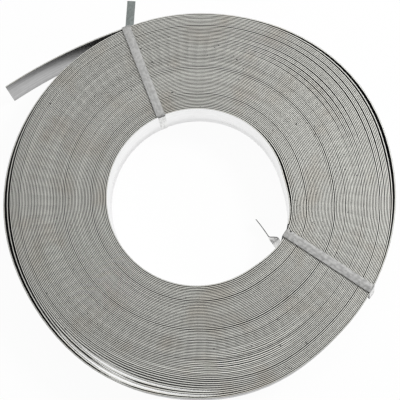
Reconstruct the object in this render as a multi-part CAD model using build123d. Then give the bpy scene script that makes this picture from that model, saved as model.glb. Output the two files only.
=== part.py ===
from build123d import *
from itertools import accumulate, pairwise
from math import cos, degrees, radians, sin, sqrt
import os

# A coil of flat steel strip that lies on its end, held by two narrow steel ties.
# Sizes are in millimetres. Z is the bore's axis, and Z zero is halfway up the strip.

# Strip, and the tight part of the winding
strip_width = 40.0
strip_thickness = 1.2
winding_gap = 0.04
bore_radius = 76.0
tight_turns = 63
turns_per_ridge = 7
ridge_depth = 0.5

# Loose outer turns: tight under the left tie, and slack on the far side of the coil.
# The shares give each turn's gap there, from the inside out.
slack_angle = 108.5
tied_gap = 0.3
widest_gap = 3.7
gap_shares = (0.18, 0.26, 0.56, 1.0)
heel_length = 4.0

# Free outer end of the strip
tail_length = 128.7
tail_radius = 450.0

# Ties
tie_width = 7.0
tie_thickness = 0.5
tie_clearance = 0.2
tie_bend = 0.6

# Left tie: its free end is folded out flat on the floor
left_tie_angle = 111.5
left_tie_offset = 3.2
tongue_length = 41.0
tongue_turn = 23.5

# Right tie: it stands off at its outer foot, and its free end comes out into the bore,
# flat at first, then twisted up on its edge and curled
right_tie_angle = -33.7
right_tie_offset = 14.8
foot_stand_off = 3.8
free_end_skew = 2.2
free_end_flat = 2.0
twist_length = 6.0
twist_steps = 3
curl_length = 17.5
curl_radius = 31.0

winding_pitch = strip_thickness + winding_gap
tight_radius = bore_radius + tight_turns * winding_pitch
ridges_per_end = tight_turns // turns_per_ridge
half_width = strip_width / 2
tie_under = half_width + tie_clearance
tie_top = tie_under + tie_thickness


def unit(angle):
    return Vector(cos(radians(angle)), sin(radians(angle)))


# How far the inner face of each loose turn reaches, at the tied side and the slack side in turn
def loose_reaches():
    reaches = []
    for turn, slack in enumerate(accumulate(gap_shares)):
        tied = (turn + 1) * tied_gap
        reaches += [tight_radius + tied + turn * strip_thickness]
        reaches += [tight_radius + slack * widest_gap + turn * strip_thickness]
    return reaches + [reaches[-2] + tied_gap + strip_thickness]


# Half turns that run on from each other, because each centre lies on the line where they meet
def loose_arcs():
    arcs = []
    for half, (reach, next_reach) in enumerate(pairwise(loose_reaches())):
        angle = slack_angle + 180 * half
        centre = unit(angle) * (reach - next_reach) / 2
        arcs.append((centre, (reach + next_reach) / 2, angle, 180))
    return arcs


# The free end leaves the last half turn on a much larger arc
def tail_arc(last_arc):
    centre, radius, angle, size = last_arc
    leaves = angle + size
    tail_centre = centre + unit(leaves) * (radius - tail_radius)
    return tail_centre, tail_radius, leaves, degrees(tail_length / tail_radius)


# The tight turns, turned with their bore, with ridges for the turns' edges on both ends
def tight_body():
    step = (tight_radius - bore_radius) / (2 * ridges_per_end)
    heights = (half_width - ridge_depth, half_width)
    upper = [(bore_radius + i * step, heights[i % 2]) for i in range(2 * ridges_per_end + 1)]
    lower = [(x, -z) for x, z in reversed(upper)]
    section = make_face(Polyline(*upper, *lower, close=True))
    return revolve(Plane.XZ * section, Axis.Z)


# The loose turns and the free end, as one strip on its edge, with a heel that joins the tight turns
def loose_strip(arcs):
    inner = [CenterArc(centre, radius, *angles) for centre, radius, *angles in arcs]
    outer = [CenterArc(centre, radius + strip_thickness, *angles) for centre, radius, *angles in arcs]
    caps = [Line(inner[0] @ 0, outer[0] @ 0), Line(inner[-1] @ 1, outer[-1] @ 1)]
    standing = extrude(make_face([*inner, *outer, *caps]), amount=half_width, both=True)
    heel_depth = 2 * strip_thickness + tied_gap
    heel = Box(heel_depth, heel_length, strip_width, align=(Align.MAX, Align.MIN, Align.CENTER))
    heel = Pos(tight_radius + tied_gap + strip_thickness / 2, 0, 0) * heel
    return standing + Rot(Z=slack_angle) * heel


# A line at an offset from the axis meets the bore's wall and the winding's outer face
def bore_reach(offset):
    return sqrt(bore_radius**2 - (offset + tie_width / 2) ** 2) - tie_clearance


def rim_reach(arc, angle, offset):
    centre, radius, _, _ = arc
    beside = abs(offset - centre.dot(unit(angle + 90)))
    nearest = max(beside - tie_width / 2, 0)
    return centre.dot(unit(angle)) + sqrt((radius + strip_thickness) ** 2 - nearest**2) + tie_clearance


# A tie's upright plane has x outwards and y up, and its floor plane has x outwards and y across
def upright_plane(angle, offset):
    return Plane(unit(angle + 90) * offset, x_dir=unit(angle), z_dir=unit(angle - 90))


def floor_plane(angle, offset):
    origin = unit(angle + 90) * offset - Vector(0, 0, tie_top)
    return Plane(origin, x_dir=unit(angle), z_dir=(0, 0, 1))


# The band bent round the coil's section, whose outer foot may stand off from the wall
def tie_loop(inner_reach, outer_reach, foot_reach):
    top = [(inner_reach, tie_under), (outer_reach, tie_under)]
    foot = [(foot_reach, -tie_under), (inner_reach, -tie_under)]
    hole = make_face(Polyline(*top, *foot, close=True))
    hole = fillet(hole.vertices(), tie_bend)
    return extrude(offset(hole, tie_thickness) - hole, amount=tie_width / 2, both=True)


# The fold is on a slant, so the tongue's root is wider than the band
def tongue(outer_reach):
    root = Vector(outer_reach, 0)
    root_half = Vector(0, tie_width / 2 / cos(radians(tongue_turn)))
    tip = root + unit(-tongue_turn) * tongue_length
    tip_half = unit(90 - tongue_turn) * tie_width / 2
    corners = Polyline(root - root_half, tip - tip_half, tip + tip_half, root + root_half, close=True)
    return extrude(make_face(corners), tie_thickness)


def left_tie(tail):
    outer_reach = rim_reach(tail, left_tie_angle, left_tie_offset)
    loop = tie_loop(bore_reach(left_tie_offset), outer_reach, outer_reach)
    upright = upright_plane(left_tie_angle, left_tie_offset)
    return upright * loop + floor_plane(left_tie_angle, left_tie_offset) * tongue(outer_reach)


# A section of the twist: its lowest corner stays on the floor as it turns up on its edge
def twist_section(start, step):
    turn = 90 * step / twist_steps
    height = (tie_width * sin(radians(turn)) + tie_thickness * cos(radians(turn))) / 2
    origin = (start - twist_length * step / twist_steps, 0, height)
    across = Plane(origin, x_dir=(0, 1, 0), z_dir=(-1, 0, 0))
    return across * Rot(Z=turn) * Rectangle(tie_width, tie_thickness)


# The free end runs in from the foot, beside the loop's own bottom run
def free_end(run_length):
    flat = Box(run_length, tie_width, tie_thickness, align=(Align.MAX, Align.CENTER, Align.MIN))
    twist = loft([twist_section(-run_length, step) for step in range(twist_steps + 1)])
    curl_start = (-run_length - twist_length, 0)
    curl = JernArc(curl_start, (-1, 0), curl_radius, -degrees(curl_length / curl_radius))
    return flat + twist + extrude(trace(curl, tie_thickness), tie_width)


def right_tie(last_arc):
    inner_reach = bore_reach(right_tie_offset)
    outer_reach = rim_reach(last_arc, right_tie_angle, right_tie_offset)
    foot_reach = outer_reach + foot_stand_off
    upright = upright_plane(right_tie_angle, right_tie_offset)
    loop = upright * tie_loop(inner_reach, outer_reach, foot_reach)
    foot = floor_plane(right_tie_angle, right_tie_offset) * Pos(foot_reach, 0)
    return loop + foot * Rot(Z=free_end_skew) * free_end(foot_reach - inner_reach + free_end_flat)


arcs = loose_arcs()
tail = tail_arc(arcs[-1])
parts = {
    "strip_coil": tight_body() + loose_strip([*arcs, tail]),
    "tie_left": left_tie(tail),
    "tie_right": right_tie(arcs[-1]),
}

os.makedirs("parts", exist_ok=True)
for name, part in parts.items():
    export_step(part, f"parts/{name}.step")
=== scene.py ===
import random
from math import cos, degrees, floor, hypot, pi, radians, sin

import bmesh
import bpy
from mathutils import Matrix, Vector, noise


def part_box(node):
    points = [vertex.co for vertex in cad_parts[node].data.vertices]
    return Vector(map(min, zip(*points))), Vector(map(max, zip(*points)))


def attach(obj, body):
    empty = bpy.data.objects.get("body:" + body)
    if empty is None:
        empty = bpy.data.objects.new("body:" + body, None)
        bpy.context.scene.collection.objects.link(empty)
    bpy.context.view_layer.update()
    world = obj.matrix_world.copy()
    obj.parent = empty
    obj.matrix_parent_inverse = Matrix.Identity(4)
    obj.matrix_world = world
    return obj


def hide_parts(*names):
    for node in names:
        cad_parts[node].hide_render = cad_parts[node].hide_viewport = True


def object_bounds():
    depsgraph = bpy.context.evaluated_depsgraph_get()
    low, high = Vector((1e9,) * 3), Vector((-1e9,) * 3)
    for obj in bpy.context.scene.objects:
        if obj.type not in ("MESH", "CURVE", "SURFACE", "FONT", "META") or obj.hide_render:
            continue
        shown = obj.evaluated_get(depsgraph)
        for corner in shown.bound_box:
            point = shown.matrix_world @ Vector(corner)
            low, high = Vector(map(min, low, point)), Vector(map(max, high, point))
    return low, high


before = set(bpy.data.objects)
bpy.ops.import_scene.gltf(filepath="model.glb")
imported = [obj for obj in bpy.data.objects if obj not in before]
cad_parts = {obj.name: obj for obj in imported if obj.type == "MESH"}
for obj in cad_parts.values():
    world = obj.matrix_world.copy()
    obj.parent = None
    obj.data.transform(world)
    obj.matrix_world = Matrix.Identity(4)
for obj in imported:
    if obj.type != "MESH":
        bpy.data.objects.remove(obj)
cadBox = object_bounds()
coilLow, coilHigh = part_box("strip_coil")
floorLevel = cadBox[0].z
scene = bpy.context.scene
random.seed(68)
sharpFrom = 30      # degrees between two faces, past which their edge is drawn sharp


def around(angle):
    return Vector((cos(radians(angle)), sin(radians(angle)), 0))


def bump(angle, peak, before, after):
    # a soft hump that is 1 at its peak and 0 past its two ends
    reach = (angle - peak) / (after if angle > peak else before)
    return cos(reach * pi / 2) ** 2 if abs(reach) < 1 else 0


def grey(value, warmth=0.0):
    return (value, value, value * (1 - warmth))


def newMaterial(name):
    material = bpy.data.materials.new(name)
    material.use_nodes = True
    tree = material.node_tree
    return material, tree, tree.nodes["Principled BSDF"]


def addNode(tree, kind, inputs=None, **settings):
    made = tree.nodes.new(kind)
    for name, value in settings.items():
        setattr(made, name, value)
    for name, value in (inputs or {}).items():
        if isinstance(value, bpy.types.NodeSocket):
            tree.links.new(value, made.inputs[name])
        else:
            made.inputs[name].default_value = value
    return made


def addRamp(tree, factor, *stops):
    ramp = addNode(tree, "ShaderNodeValToRGB", {"Fac": factor})
    for place, _ in stops[1:-1]:
        ramp.color_ramp.elements.new(place)
    for element, (place, tone) in zip(ramp.color_ramp.elements, stops):
        element.position = place
        element.color = (*tone, 1)
    return ramp.outputs["Color"]


def mixColour(tree, factor, first, second, blend="MIX"):
    tones = [(*tone, 1) if isinstance(tone, tuple) else tone for tone in (first, second)]
    # the node's colours are its inputs 6 and 7, and the mixed colour is output 2
    mixed = addNode(tree, "ShaderNodeMix", {0: factor, 6: tones[0], 7: tones[1]},
                    data_type="RGBA", blend_type=blend)
    return mixed.outputs[2]


def mixValue(tree, share, first, second):
    return addNode(tree, "ShaderNodeMix", {"Factor": share, "A": first, "B": second}).outputs["Result"]


def rescale(tree, value, low, high, newLow=0.0, newHigh=1.0):
    inputs = {"Value": value, "From Min": low, "From Max": high, "To Min": newLow, "To Max": newHigh}
    return addNode(tree, "ShaderNodeMapRange", inputs).outputs["Result"]


def attribute(tree, name):
    return addNode(tree, "ShaderNodeAttribute", attribute_name=name).outputs["Fac"]


def objectPlace(tree):
    return addNode(tree, "ShaderNodeTexCoord").outputs["Object"]


def cloudsAt(tree, place, scale, detail):
    inputs = {"Vector": place, "Scale": scale, "Detail": detail}
    return addNode(tree, "ShaderNodeTexNoise", inputs).outputs["Fac"]


def streaksOn(tree, along, across, scale, detail):
    # clouds on a flat sheet, drawn out along it
    sheet = addNode(tree, "ShaderNodeCombineXYZ", {"X": along, "Y": across}).outputs["Vector"]
    drawn = addNode(tree, "ShaderNodeMapping", {"Vector": sheet, "Scale": scale}).outputs["Vector"]
    return addNode(tree, "ShaderNodeTexNoise", {"Vector": drawn, "Scale": 1.0, "Detail": detail},
                   noise_dimensions="2D").outputs["Fac"]


def addRelief(tree, shader, height, strength, depth):
    relief = addNode(tree, "ShaderNodeBump", {"Height": height, "Strength": strength, "Distance": depth})
    tree.links.new(relief.outputs["Normal"], shader.inputs["Normal"])


def newObject(name, bm, *materials):
    mesh = bpy.data.meshes.new(name)
    bm.to_mesh(mesh)
    bm.free()
    for material in materials:
        mesh.materials.append(material)
    made = bpy.data.objects.new(name, mesh)
    scene.collection.objects.link(made)
    return made


def newPiece(name, bm, node, slot, *materials):
    piece = newObject(name, bm, *materials)
    piece.data.set_sharp_from_angle(angle=radians(sharpFrom))
    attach(piece, "root")
    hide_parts(node)
    print(name, "faces", len(piece.data.polygons))


# Finish of the slit edges that make up the coil's two ends, with painted shade in the grooves between the
# turns. A range is the part of a cloud's values over which its tone, stain or speck comes in.
slitEdge = {
    "light": grey(0.94, 0.05),
    "dark": grey(0.74, 0.06),
    "turnScale": 3.4,           # tone changes per metre of strip
    "turnDetail": 3.0,
    "turnRange": (0.3, 0.7),
    # painted shade: the rounded corners between the turns are near black
    "grooveShade": grey(0.012),
    "grooveShadeEdge": (0.03, 0.35),
    "stain": (0.93, 0.90, 0.87),
    "stainScale": 34,
    "stainDetail": 2.0,
    "stainRange": (0.52, 0.72),
    "speck": grey(0.22),
    "speckScale": 330,
    "speckDetail": 1.0,
    "speckRange": (0.75, 0.80),
    "roughness": (0.60, 0.70),
}


def slitEdgeMaterial():
    material, tree, shader = newMaterial("slitEdge")
    place = objectPlace(tree)
    inputs = {"W": attribute(tree, "along"), "Scale": slitEdge["turnScale"], "Detail": slitEdge["turnDetail"]}
    turns = addNode(tree, "ShaderNodeTexNoise", inputs, noise_dimensions="1D").outputs["Fac"]
    tone = addRamp(tree, turns, *zip(slitEdge["turnRange"], (slitEdge["dark"], slitEdge["light"])))
    for kind in ("stain", "speck"):
        clouds = cloudsAt(tree, place, slitEdge[kind + "Scale"], slitEdge[kind + "Detail"])
        share = rescale(tree, clouds, *slitEdge[kind + "Range"])
        tone = mixColour(tree, share, tone, slitEdge[kind], "MULTIPLY")
    # painted shade in the grooves between the turns: near black and not metallic
    corner = rescale(tree, attribute(tree, "grooveShade"), *slitEdge["grooveShadeEdge"])
    roughness = rescale(tree, turns, *slitEdge["turnRange"], *slitEdge["roughness"])
    tree.links.new(mixColour(tree, corner, tone, slitEdge["grooveShade"]), shader.inputs["Base Color"])
    tree.links.new(rescale(tree, corner, 0, 1, 1, 0), shader.inputs["Metallic"])
    tree.links.new(roughness, shader.inputs["Roughness"])
    return material


# Finishes of the strip's broad faces: clean in the bore, darker outside as painted shade, and near black
# between the turns as painted shade, where the walls of some gaps are left as a bright mirror instead
boreFace = {
    "light": grey(0.97),
    "dark": grey(0.88),
    "metallic": 1.0,
    "roughness": (0.26, 0.36),
    "bump": 0.10,
}
# painted shade: the outermost turn and the tail are darker than the bore
shadedOuterFace = {
    "light": grey(0.52),
    "dark": grey(0.36),
    "metallic": 1.0,
    "roughness": (0.30, 0.42),
    "bump": 0.15,
}
# painted shade: the faces between the turns are near black and not metallic
shadedGapFace = {
    "light": grey(0.020),
    "dark": grey(0.010),
    "metallic": 0.0,
    "roughness": (0.6, 0.8),
    "bump": 0.0,
    # where a gap's wall is a mirror, the painted shade gives way to bright, smooth zinc
    "gapMirror": grey(0.97),
    "gapMirrorRoughness": 0.06,
}
# rolling marks that all the broad faces share
rolling = {
    "streaks": (12, 420, 1),
    "streakDetail": 4.0,
    "mottle": 140,
    "mottleDetail": 3.0,
    "mottleShare": 0.35,
    "toneRange": (0.36, 0.64),
    "roughRange": (0.3, 0.7),
    "bumpDepth": 0.0002,
}


def stripFaceMaterial(name, finish):
    material, tree, shader = newMaterial(name)
    place = objectPlace(tree)
    height = addNode(tree, "ShaderNodeSeparateXYZ", {"Vector": place}).outputs["Z"]
    along = attribute(tree, "along")
    streaks = streaksOn(tree, along, height, rolling["streaks"], rolling["streakDetail"])
    mottle = cloudsAt(tree, place, rolling["mottle"], rolling["mottleDetail"])
    grain = mixValue(tree, rolling["mottleShare"], streaks, mottle)
    tone = addRamp(tree, grain, *zip(rolling["toneRange"], (finish["dark"], finish["light"])))
    roughness = rescale(tree, grain, *rolling["roughRange"], *finish["roughness"])
    shader.inputs["Metallic"].default_value = finish["metallic"]
    # lift the painted shade off the walls of chosen gaps, which become a bright mirror
    if "gapMirror" in finish:
        gapMirror = attribute(tree, "gapMirror")
        tone = mixColour(tree, gapMirror, tone, finish["gapMirror"])
        roughness = rescale(tree, gapMirror, 0, 1, roughness, finish["gapMirrorRoughness"])
        tree.links.new(gapMirror, shader.inputs["Metallic"])
    tree.links.new(tone, shader.inputs["Base Color"])
    tree.links.new(roughness, shader.inputs["Roughness"])
    addRelief(tree, shader, streaks, finish["bump"], rolling["bumpDepth"])
    return material


# The wound strip. Angles run on past 360 from the left tie, where every turn lies tight.
coil = {
    "boreRadius": 0.0752,
    "tiedRadius": 0.1605,
    "thickness": 0.0012,
    "edgeRound": 0.00040,
    "turns": 68.350,
    "stepsPerTurn": 100,
    "tieAngle": 108.4,
    # slack spread over all the turns: peak angle, degrees before and after it, how much
    "bodySlack": [(372, 45, 100, 0.0022), (300, 45, 60, 0.0032)],
    # the bulge by the right tie, and the share of it that is gone at the outermost turn
    "pull": 0.0048,
    "pullLoss": 0.5,
    "pullPeak": (340, 36, 36),
    # the innermost turn's own dip into the bore
    "innerDip": 0.0012,
    "innerDipPeak": (372, 42, 52),
    "innerDipTurns": 0.5,
    "tailLength": 0.1287,
    "tailRadius": 0.450,
    "edgeWander": 0.00012,
    "wanderRate": 1.6,          # waves per turn
    # turns in from the outside, peak angle, degrees before and after it, gap, and how far its walls are
    # lifted out of the painted shade into a bright mirror
    "gaps": [
        (0, 190, 55, 60, 0.0016, 0), (1, 190, 55, 55, 0.0013, 0),
        (0, 238, 40, 50, 0.0004, 0), (1, 250, 48, 48, 0.0018, 0.9), (2, 238, 46, 56, 0.0008, 0.3),
        (3, 247, 45, 55, 0.0015, 0.9), (4, 250, 45, 55, 0.0008, 0.5), (5, 255, 45, 50, 0.0008, 0.6),
        (6, 258, 45, 50, 0.0006, 0.5), (7, 262, 45, 48, 0.0006, 0.7), (9, 268, 45, 45, 0.0005, 0.8),
        (12, 275, 35, 40, 0.0004, 0.9), (15, 283, 30, 32, 0.0008, 1), (17, 285, 30, 32, 0.0008, 1),
        (21, 292, 30, 28, 0.0006, 1), (24, 300, 32, 26, 0.0005, 0.8),
        (0, 378, 50, 72, 0.0018, 0), (1, 378, 46, 65, 0.0010, 0), (5, 385, 42, 68, 0.0007, 0),
        (8, 395, 36, 55, 0.0004, 0), (14, 400, 36, 48, 0.0006, 0), (17, 400, 34, 48, 0.0006, 0),
        (20, 402, 34, 46, 0.0005, 0), (23, 402, 30, 46, 0.0004, 0),
    ],
}
slitSlot, boreSlot, outerSlot, innerSlot = range(4)
broadFacing = 0.9           # on the flat strip, a broad face's normal has more y than this
flatTolerance = 1e-5


def slackShares(turns):
    # how the slack between the tight turns adds up, from the bore outwards
    shares = [0]
    for _ in range(int(turns) + 2):
        shares.append(shares[-1] + random.expovariate(1) ** 2)
    return [share / shares[int(turns)] for share in shares]


def slackAt(shares, turn):
    layer = floor(turn)
    return shares[layer] + (shares[layer + 1] - shares[layer]) * (turn - layer)


def turnAngle(turn):
    return coil["tieAngle"] + 360 * (1 - (coil["turns"] - turn) % 1)


def woundRadius(turn, shares):
    left = coil["turns"] - turn
    angle = turnAngle(turn)
    slack = coil["tiedRadius"] - coil["boreRadius"] - coil["thickness"] * coil["turns"]
    radius = coil["boreRadius"] + coil["thickness"] * turn + slack * slackAt(shares, turn)
    radius += coil["pull"] * bump(angle, *coil["pullPeak"]) * (1 - coil["pullLoss"] * turn / coil["turns"])
    # a turn keeps the same share of the body's slack from one pass of the left tie to the next
    lastTie = max(turn - (1 - left % 1), 0)
    spread = sum(loose * bump(angle, *peak) for *peak, loose in coil["bodySlack"])
    radius += spread * slackAt(shares, lastTie)
    if turn < coil["innerDipTurns"]:
        radius -= coil["innerDip"] * bump(angle, *coil["innerDipPeak"])
    # every gap that lies further in pushes this turn out
    pushes = [gap * bump(angle, *peak) for layer, *peak, gap, _ in coil["gaps"] if layer >= floor(left)]
    return radius + sum(pushes)


def tailPoint(past, depth):
    # past the left tie, the strip's free end runs out on a much larger arc
    swing = past * 2 * pi * coil["tiedRadius"] / coil["tailRadius"]
    root = around(coil["tieAngle"])
    centre = root * (coil["tiedRadius"] - coil["tailRadius"])
    return centre + (Matrix.Rotation(swing, 3, "Z") @ root) * (coil["tailRadius"] + depth)


def windPoint(flat, shares):
    # a point of the flat strip, whose x counts turns, goes to its place in the coil
    turn, depth, height = flat
    if turn >= coil["turns"]:
        spot = tailPoint(turn - coil["turns"], depth)
    else:
        spot = around(turnAngle(turn)) * (woundRadius(turn, shares) + depth)
    spot.z = height + coil["edgeWander"] * noise.noise((turn * coil["wanderRate"], 0.5, 0.5))
    return spot


def gapMirrorAt(flat):
    # how far the wall of the gap beside this point is lifted out of the painted shade into a bright mirror
    outward = flat.y > coil["thickness"] / 2
    beside = floor(coil["turns"] - flat.x) - (1 if outward else 0)
    angle = turnAngle(flat.x)
    walls = [(peak, mirrorShare) for layer, *peak, _, mirrorShare in coil["gaps"] if layer == beside]
    return max((mirrorShare * min(2 * bump(angle, *peak), 1) for peak, mirrorShare in walls), default=0)


def longEdges(bm):
    # on the flat strip, only the edges along it reach over more than one turn
    return [edge for edge in bm.edges if abs(edge.verts[0].co.x - edge.verts[1].co.x) > 1]


def stripSlot(face):
    if abs(face.normal.y) < broadFacing:
        return slitSlot
    turn = face.calc_center_median().x
    inward = face.normal.y < 0
    if inward and turn < 1:
        return boreSlot
    outside = turn > coil["turns"] - (0 if inward else 1)
    return outerSlot if outside else innerSlot


def coilStrip():
    width = coilHigh.z - coilLow.z
    length = coil["turns"] + coil["tailLength"] / (2 * pi * coil["tiedRadius"])
    bm = bmesh.new()
    bmesh.ops.create_cube(bm, size=1)
    bmesh.ops.translate(bm, verts=bm.verts, vec=(0.5, 0.5, 0))
    bmesh.ops.scale(bm, verts=bm.verts, vec=(length, coil["thickness"], width))
    bmesh.ops.bevel(bm, geom=longEdges(bm), affect="EDGES", offset=coil["edgeRound"], segments=2,
                    profile=0.5, material=-1)
    cuts = round(length * coil["stepsPerTurn"]) - 1
    bmesh.ops.subdivide_edges(bm, edges=longEdges(bm), cuts=cuts, use_grid_fill=True)
    bm.normal_update()
    for face in bm.faces:
        face.smooth = True
        face.material_index = stripSlot(face)
    along, grooveShade, gapMirror = [bm.verts.layers.float.new(name) for name in ("along", "grooveShade", "gapMirror")]
    shares = slackShares(coil["turns"])
    growth = (coil["tiedRadius"] - coil["boreRadius"]) / coil["turns"] / 2
    for vert in bm.verts:
        turn = vert.co.x
        onEnd = abs(vert.co.z) > width / 2 - flatTolerance
        vert[along] = 2 * pi * turn * (coil["boreRadius"] + growth * turn)
        vert[gapMirror] = gapMirrorAt(vert.co)
        # painted shade on every point off the flat ends, lifted where a gap's wall is a bright mirror
        vert[grooveShade] = 0 if onEnd else 1 - vert[gapMirror]
        vert.co = windPoint(vert.co, shares)
    bmesh.ops.recalc_face_normals(bm, faces=bm.faces)
    newPiece("coilStrip", bm, "strip_coil", "strip", slitEdgeMaterial(),
             stripFaceMaterial("boreFace", boreFace), stripFaceMaterial("shadedOuterFace", shadedOuterFace),
             stripFaceMaterial("shadedGapFace", shadedGapFace))


# Finish of the two ties: darker on the top run than on the upright runs, with painted shade on the bends,
# painted shadow on their free ends, and cut edges that are dark partly as bare steel and partly as painted
# shade
tieFinish = {
    "light": grey(0.95, 0.01),
    "dark": grey(0.68, 0.01),
    "toneRange": (0.42, 0.58),
    # painted shadow on the free ends, which lie by the coil
    "freeEndShade": (0.25, 0.275, 0.27),
    "topRunTone": grey(0.48, 0.01),
    "bendShade": grey(0.35),
    "bendShadeFacing": (0.0, 0.12, 0.40, 0.6),    # the normal's z where the painted shade on a bend starts, is full and ends
    "streaks": (60, 600, 1),
    "streakDetail": 3.0,
    "spangle": 380,
    "spangleDetail": 4.0,
    "spangleShare": 0.65,
    "roughRange": (0.3, 0.7),
    "roughness": (0.32, 0.50),
    "bump": 0.25,
    "bumpDepth": 0.0001,
    "nick": (0.0784, -0.0309, 0.0214),          # at the right tie's inner bend
    "nickReach": (0.0013, 0.0006),
    "nickTone": grey(0.06),
    # painted shade lines across the band beside its bends
    "shadeLineTone": grey(0.16),
    "shadeLineReach": 0.0018,
}
# cut edges: near black, partly as bare steel and partly as painted shade along the ties' sides
tieEdgeFinish = {
    **tieFinish,
    "light": grey(0.05),
    "dark": grey(0.02),
    "topRunTone": grey(1),
    "bendShade": grey(1),
    "shadeLineTone": grey(1),
}


def tieMaterial(name, finish, shadeLines):
    material, tree, shader = newMaterial(name)
    place = objectPlace(tree)
    run = attribute(tree, "run")
    streaks = streaksOn(tree, run, attribute(tree, "side"), finish["streaks"], finish["streakDetail"])
    spangle = cloudsAt(tree, place, finish["spangle"], finish["spangleDetail"])
    grain = mixValue(tree, finish["spangleShare"], streaks, spangle)
    tone = addRamp(tree, grain, *zip(finish["toneRange"], (finish["dark"], finish["light"])))
    facing = addNode(tree, "ShaderNodeNewGeometry").outputs["Normal"]
    upward = addNode(tree, "ShaderNodeSeparateXYZ", {"Vector": facing}).outputs["Z"]
    # painted shade on the bends, strongest where the surface faces partly up
    clean, bendShade = grey(1), finish["bendShade"]
    bendShadeTone = addRamp(tree, upward, *zip(finish["bendShadeFacing"], (clean, bendShade, bendShade, clean)))
    # multiplied in: painted shade on the bends, a darker tone on the top run, and painted shadow on the free
    # end
    for layer, worn in (("bend", bendShadeTone), ("onTopRun", finish["topRunTone"]), ("freeEndShade", finish["freeEndShade"])):
        tone = mixColour(tree, attribute(tree, layer), tone, worn, "MULTIPLY")
    # painted shade lines across the band beside its bends, each given by its place along the run
    for at in shadeLines:
        shadeLine = addNode(tree, "ShaderNodeMath", {0: run, 1: at, 2: finish["shadeLineReach"]}, operation="COMPARE")
        tone = mixColour(tree, shadeLine.outputs["Value"], tone, finish["shadeLineTone"], "MULTIPLY")
    nick = addNode(tree, "ShaderNodeVectorMath", {0: place, 1: finish["nick"]}, operation="DISTANCE")
    nearNick = rescale(tree, nick.outputs["Value"], *finish["nickReach"])
    tone = mixColour(tree, nearNick, tone, finish["nickTone"])
    roughness = rescale(tree, grain, *finish["roughRange"], *finish["roughness"])
    tree.links.new(tone, shader.inputs["Base Color"])
    tree.links.new(roughness, shader.inputs["Roughness"])
    shader.inputs["Metallic"].default_value = 1.0
    addRelief(tree, shader, grain, finish["bump"], finish["bumpDepth"])
    return material


def tieMaterials(hand, *shadeLines):
    face = tieMaterial("tieZinc" + hand, tieFinish, shadeLines)
    edge = tieMaterial("tieEdge" + hand, tieEdgeFinish, shadeLines)
    return face, edge


# The band that both ties are folded from
band = {
    "width": 0.0074,
    "thickness": 0.0005,
    "bendLength": 0.0014,
    "bendSteps": 6,
    "step": 0.004,
    "topGap": 0.0009,
    "crown": 0.00010,
    "bendShadeFrom": 60,            # degrees of bend, past which a fold gets painted shade
    "bendShadeReach": 0.75,         # in lengths of the bend
}
bandLow = -floorLevel
bandHigh = coilHigh.z + band["topGap"] + band["thickness"]
bandHalf = band["width"] / 2
cutTolerance = 1e-7
# a square bend sets the runs on both sides of it out by this much
bendOut = band["bendLength"] * (2 / pi - 0.5)
# axes of the flat band to fold or turn it about, and ways to go in a tie's own plane
alongBand, acrossBand, throughBand = (1, 0, 0), (0, 1, 0), (0, 0, 1)
inwards, sideways, upwards = (-1, 0, 0), (0, 1, 0), (0, 0, 1)


def splitFolds(folds):
    # every fold is made of small creases
    creases = []
    for fold in folds:
        size = fold.get("length", band["bendLength"])
        steps = fold.get("steps", band["bendSteps"])
        for i in range(steps):
            spot = fold["at"] + size * ((i + 0.5) / steps - 0.5)
            creases.append((spot, fold["angle"] / steps, fold))
    return creases


def flatBand(length, creaseSpots):
    bm = bmesh.new()
    bmesh.ops.create_grid(bm, x_segments=1, y_segments=4, size=0.5)
    bmesh.ops.translate(bm, verts=bm.verts, vec=(0.5, 0, 0))
    bmesh.ops.scale(bm, verts=bm.verts, vec=(length, band["width"], 1))
    evenSpots = [i * band["step"] for i in range(1, int(length / band["step"]))]
    farSpots = [spot for spot in evenSpots
                if min(abs(spot - crease) for crease in creaseSpots) > band["bendLength"]]
    for spot in creaseSpots + farSpots:
        bmesh.ops.bisect_plane(bm, geom=bm.verts[:] + bm.edges[:] + bm.faces[:], dist=cutTolerance,
                               plane_co=(spot, 0, 0), plane_no=alongBand)
    return bm


def markBand(bm, folds, topRun, freeEndShadeFrom, freeEndShadeShare):
    # the finish reads from these layers where each point lay on the flat band
    bendShade = [fold["at"] for fold in folds if abs(fold["angle"]) > band["bendShadeFrom"] and "axis" not in fold]
    names = ("run", "side", "bend", "onTopRun", "freeEndShade")
    run, side, bend, onTopRun, freeEndShade = [bm.verts.layers.float.new(name) for name in names]
    for vert in bm.verts:
        fromBend = min(abs(vert.co.x - at) for at in bendShade)
        vert[run] = vert.co.x
        vert[side] = vert.co.y
        vert[bend] = 1 if fromBend < band["bendLength"] * band["bendShadeReach"] else 0
        vert[onTopRun] = 1 if topRun[0] < vert.co.x < topRun[1] else 0
        # painted shadow from where the free end starts
        vert[freeEndShade] = freeEndShadeShare if vert.co.x > freeEndShadeFrom else 0


def pickCutEdges(bm, length):
    run, side = [bm.verts.layers.float[name] for name in ("run", "side")]
    for face in bm.faces:
        onSide = all(bandHalf - abs(vert[side]) < flatTolerance for vert in face.verts)
        onEnd = all(min(vert[run], length - vert[run]) < flatTolerance for vert in face.verts)
        face.material_index = 1 if onSide or onEnd else 0


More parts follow.
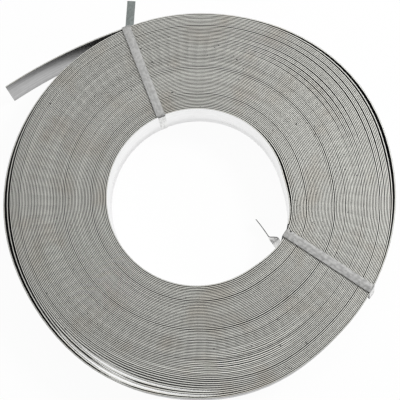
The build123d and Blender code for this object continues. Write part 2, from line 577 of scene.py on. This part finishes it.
def foldBand(length, folds, topRun, freeEndShadeFrom, freeEndShadeShare):
    # the band is cut flat and then folded from its far end back, so each fold lies on a straight run
    creases = splitFolds(folds)
    bm = flatBand(length, [spot for spot, _, _ in creases])
    markBand(bm, folds, topRun, freeEndShadeFrom, freeEndShadeShare)
    for vert in bm.verts:
        vert.co.z = -band["crown"] * (vert.co.y / bandHalf) ** 2
    flat = {vert: vert.co.x for vert in bm.verts}
    for spot, angle, fold in sorted(creases, key=lambda crease: -crease[0]):
        beyond = [vert for vert, x in flat.items() if x > spot + cutTolerance]
        turn = Matrix.Rotation(radians(angle), 3, fold.get("axis", acrossBand))
        bmesh.ops.rotate(bm, cent=(spot, fold.get("side", 0) * bandHalf, 0), verts=beyond, matrix=turn)
    bm.normal_update()
    for face in bm.faces:
        face.smooth = True
    bmesh.ops.solidify(bm, geom=bm.faces[:], thickness=band["thickness"])
    bmesh.ops.recalc_face_normals(bm, faces=bm.faces)
    pickCutEdges(bm, length)
    return bm


def placeBand(bm, tie, start, heading):
    # start is outwards and up in the tie's own plane, and heading is outwards, sideways and up
    x, y = Vector(heading), Vector(sideways)
    local = Matrix((x, y, x.cross(y))).transposed().to_4x4()
    local.translation = (start[0], tie["offset"], start[1])
    turn = Matrix.Rotation(radians(tie["angle"]), 4, "Z")
    bmesh.ops.transform(bm, verts=bm.verts, matrix=turn @ local)


# From its lap under the coil, the left tie runs in, up the bore, over the top, down and out on the floor
leftTie = {
    "angle": 111.5,
    "offset": 0.0036,
    "inner": 0.0753,
    "outer": 0.1627,
    "lapStart": 0.150,
    "tongueLength": 0.0394,
    "tongueTurn": 24.5,
    "tongueSwing": 0.004,
    "swingSteps": 5,
    "freeEndShadeShare": 1,
    "shadeLineBeforeTop": 0.0026,
}


def tieLeft():
    under = leftTie["lapStart"] - leftTie["inner"] - bendOut
    up = under + bandLow + bandHigh - 2 * bendOut
    over = up + leftTie["outer"] - leftTie["inner"] - 2 * bendOut
    down = over + bandHigh + bandLow - band["thickness"] - band["crown"] - 2 * bendOut
    swing = down + leftTie["tongueSwing"] / 2 + band["bendLength"]
    folds = [
        {"at": under, "angle": 90},
        {"at": up, "angle": 90},
        {"at": over, "angle": 90},
        {"at": down, "angle": -90},
        {"at": swing, "angle": -leftTie["tongueTurn"], "axis": throughBand,
         "length": leftTie["tongueSwing"], "steps": leftTie["swingSteps"]},
    ]
    bm = foldBand(down + leftTie["tongueLength"], folds, (up, over), down, leftTie["freeEndShadeShare"])
    placeBand(bm, leftTie, (leftTie["lapStart"], -bandLow), inwards)
    newPiece("tieLeft", bm, "tie_left", "tie", *tieMaterials("Left", up - leftTie["shadeLineBeforeTop"]))


# From the floor of the bore, the right tie runs up, over the top, down to a foot that stands off, and
# back under the coil. Its free end comes out into the bore, lifts, twists up on its edge and curls.
rightTie = {
    "angle": -33.7,
    "offset": 0.0146,
    "inner": 0.0783,
    "outer": 0.1641,
    "standOff": 0.0038,
    "sideShift": 0.0027,
    "swayPlace": 0.003,         # from the bends at both ends of the outer run
    "skew": -4.9,
    "skewPlace": 0.004,         # from the foot
    "flatTurnLength": 0.003,
    "flatTurnSteps": 3,
    # places on the free end are from the bore's wall
    "kink": 26.8,
    "kinkPlace": 0.002,
    "kinkLength": 0.002,
    "kinkSteps": 2,
    "lift": 15,
    "liftPlace": 0.0044,
    "twist": -94,
    "twistPlace": 0.0054,
    "twistLength": 0.0068,
    "twistSide": -0.75,         # in half widths of the band
    "twistSteps": 14,
    "curlTurn": 6,
    "curlLength": 0.0185,
    "curlSteps": 12,
    "freeEndShadeShare": 0.85,
    "shadeLineAfterTop": 0.0024,
    "shadeLineBeforeFoot": 0.0022,
}


def tieRight():
    start = bandLow - band["thickness"]
    rise = bandHigh + bandLow
    fall = hypot(rise, rightTie["standOff"], rightTie["sideShift"])
    lean = degrees(rightTie["standOff"] / rise)
    sway = degrees(rightTie["sideShift"] / rise)
    over = start + bandHigh - bendOut
    down = over + rightTie["outer"] - rightTie["inner"] - 2 * bendOut
    foot = down + fall - 2 * bendOut
    under = foot + rightTie["outer"] + rightTie["standOff"] - rightTie["inner"] - bendOut
    twist = under + rightTie["twistPlace"] + rightTie["twistLength"] / 2
    twistEnd = twist + rightTie["twistLength"] / 2
    curl = twistEnd + rightTie["curlLength"] / 2
    flatTurn = {"axis": throughBand, "length": rightTie["flatTurnLength"], "steps": rightTie["flatTurnSteps"]}
    folds = [
        {"at": over, "angle": 90},
        {"at": down, "angle": 90 - lean},
        {"at": down + rightTie["swayPlace"], "angle": sway, **flatTurn},
        {"at": foot - rightTie["swayPlace"], "angle": -sway, **flatTurn},
        {"at": foot, "angle": 90 + lean},
        {"at": foot + rightTie["skewPlace"], "angle": rightTie["skew"], **flatTurn},
        {"at": under + rightTie["kinkPlace"], "angle": rightTie["kink"], "axis": throughBand,
         "length": rightTie["kinkLength"], "steps": rightTie["kinkSteps"]},
        {"at": under + rightTie["liftPlace"], "angle": rightTie["lift"]},
        {"at": twist, "angle": rightTie["twist"], "axis": alongBand, "side": rightTie["twistSide"],
         "length": rightTie["twistLength"], "steps": rightTie["twistSteps"]},
        {"at": curl, "angle": rightTie["curlTurn"], "length": rightTie["curlLength"],
         "steps": rightTie["curlSteps"]},
    ]
    length = curl + rightTie["curlLength"] / 2
    bm = foldBand(length, folds, (over, down), twistEnd, rightTie["freeEndShadeShare"])
    placeBand(bm, rightTie, (rightTie["inner"], band["crown"] - start), upwards)
    shadeLines = (down + rightTie["shadeLineAfterTop"], foot - rightTie["shadeLineBeforeFoot"])
    newPiece("tieRight", bm, "tie_right", "tie", *tieMaterials("Right", *shadeLines))


# Plain pale floor that looks white to the camera and in the metal, and still takes the coil's shadow.
# Under the outer half of the coil the glow gives way to the matt floor and its real shadow, except at the
# front, where the turns are loose and the glow stays as painted light.
stage = {
    "floorSize": 6.0,
    "floorGlow": 0.95,
    "floorTone": grey(0.9),
    "shadeFrom": (0.105, 0.115),        # the glow fades out between these distances from the axis
    "shadeTo": (0.1575, 0.1605),        # and comes back between these
    "litFront": (0.035, -0.150),
    "litReach": (0.095, 0.075),         # the painted light at the front comes in between these distances from it
    "worldLight": 0.42,
}


def seenDirectly(tree):
    path = addNode(tree, "ShaderNodeLightPath").outputs
    rays = {0: path["Is Camera Ray"], 1: path["Is Glossy Ray"]}
    return addNode(tree, "ShaderNodeMath", rays, operation="MAXIMUM").outputs["Value"]


def floorMaterial():
    material, tree, shader = newMaterial("stageFloor")
    tree.nodes.remove(shader)
    place = objectPlace(tree)
    lit, shade = grey(stage["floorGlow"]), grey(0)
    reach = addNode(tree, "ShaderNodeVectorMath", {0: place}, operation="LENGTH").outputs["Value"]
    glowAt = addRamp(tree, reach, *zip(stage["shadeFrom"] + stage["shadeTo"], (lit, shade, shade, lit)))
    front = {0: place, 1: (*stage["litFront"], floorLevel)}
    fromFront = addNode(tree, "ShaderNodeVectorMath", front, operation="DISTANCE").outputs["Value"]
    # painted light: the floor under the loose front turns glows though the coil shades it
    glowAt = mixColour(tree, rescale(tree, fromFront, *stage["litReach"]), glowAt, lit)
    share = addNode(tree, "ShaderNodeMath", {0: seenDirectly(tree), 1: glowAt}, operation="MULTIPLY")
    matt = addNode(tree, "ShaderNodeBsdfDiffuse", {"Color": (*stage["floorTone"], 1)})
    glow = addNode(tree, "ShaderNodeEmission", {"Color": (1, 1, 1, 1), "Strength": 1.0})
    both = addNode(tree, "ShaderNodeMixShader", {"Fac": share.outputs["Value"], 1: matt.outputs["BSDF"],
                                                 2: glow.outputs["Emission"]})
    tree.links.new(both.outputs["Shader"], tree.nodes["Material Output"].inputs["Surface"])
    return material


def stageFloor():
    bm = bmesh.new()
    bmesh.ops.create_grid(bm, x_segments=1, y_segments=1, size=stage["floorSize"] / 2)
    bmesh.ops.translate(bm, verts=bm.verts, vec=(0, 0, floorLevel))
    plane = newObject("stageFloor", bm, floorMaterial())


def stageWorld():
    world = bpy.data.worlds.new("studio")
    world.use_nodes = True
    tree = world.node_tree
    # only the camera sees pure white; the metal reflects the room's own level
    camera = addNode(tree, "ShaderNodeLightPath").outputs["Is Camera Ray"]
    background = tree.nodes["Background"]
    background.inputs["Color"].default_value = (1, 1, 1, 1)
    tree.links.new(rescale(tree, camera, 0, 1, stage["worldLight"], 1), background.inputs["Strength"])
    scene.world = world


lamps = {
    "softbox": {"azimuth": 180, "elevation": 66, "distance": 1.6, "size": 1.0, "level": 1.1},
    "key": {"azimuth": 118, "elevation": 46, "distance": 1.6, "size": 0.40, "level": 30.0},
}


def towards(place):
    # from the coil to a lamp or the camera; azimuth 0 is the front
    az, el = radians(place["azimuth"]), radians(place["elevation"])
    return Vector((sin(az) * cos(el), -cos(az) * cos(el), sin(el)))


def addLamp(name, lamp):
    back = towards(lamp)
    light = bpy.data.lights.new(name, "AREA")
    light.size = lamp["size"]
    light.energy = lamp["level"] * pi * lamp["size"] ** 2
    holder = bpy.data.objects.new(name, light)
    holder.location = back * lamp["distance"]
    holder.rotation_euler = back.to_track_quat("Z", "Y").to_euler()
    scene.collection.objects.link(holder)


photoView = {
    "azimuth": 9.4,
    "elevation": 78.0,
    "distance": 0.974,
    "focalPixels": 1137,
    "imagePixels": 400,
    "sensorWidth": 36,
    "aim": (0.0020, 0.0002, 0),
}


def addCamera():
    # the picture's right is the frame's x, made square to the view
    back = towards(photoView)
    right = Vector((1, 0, 0))
    right = (right - back * right.dot(back)).normalized()
    camera = bpy.data.cameras.new("photoView")
    camera.sensor_width = photoView["sensorWidth"]
    camera.lens = photoView["sensorWidth"] * photoView["focalPixels"] / photoView["imagePixels"]
    holder = bpy.data.objects.new("photoView", camera)
    turn = Matrix((right, back.cross(right), back)).transposed().to_4x4()
    turn.translation = Vector(photoView["aim"]) + back * photoView["distance"]
    holder.matrix_world = turn
    scene.collection.objects.link(holder)
    scene.camera = holder


scene.view_settings.view_transform = "Standard"
coilStrip()
tieLeft()
tieRight()
print("pieces made")
stageFloor()
stageWorld()
for name, lamp in lamps.items():
    addLamp(name, lamp)
addCamera()
print("stage set")
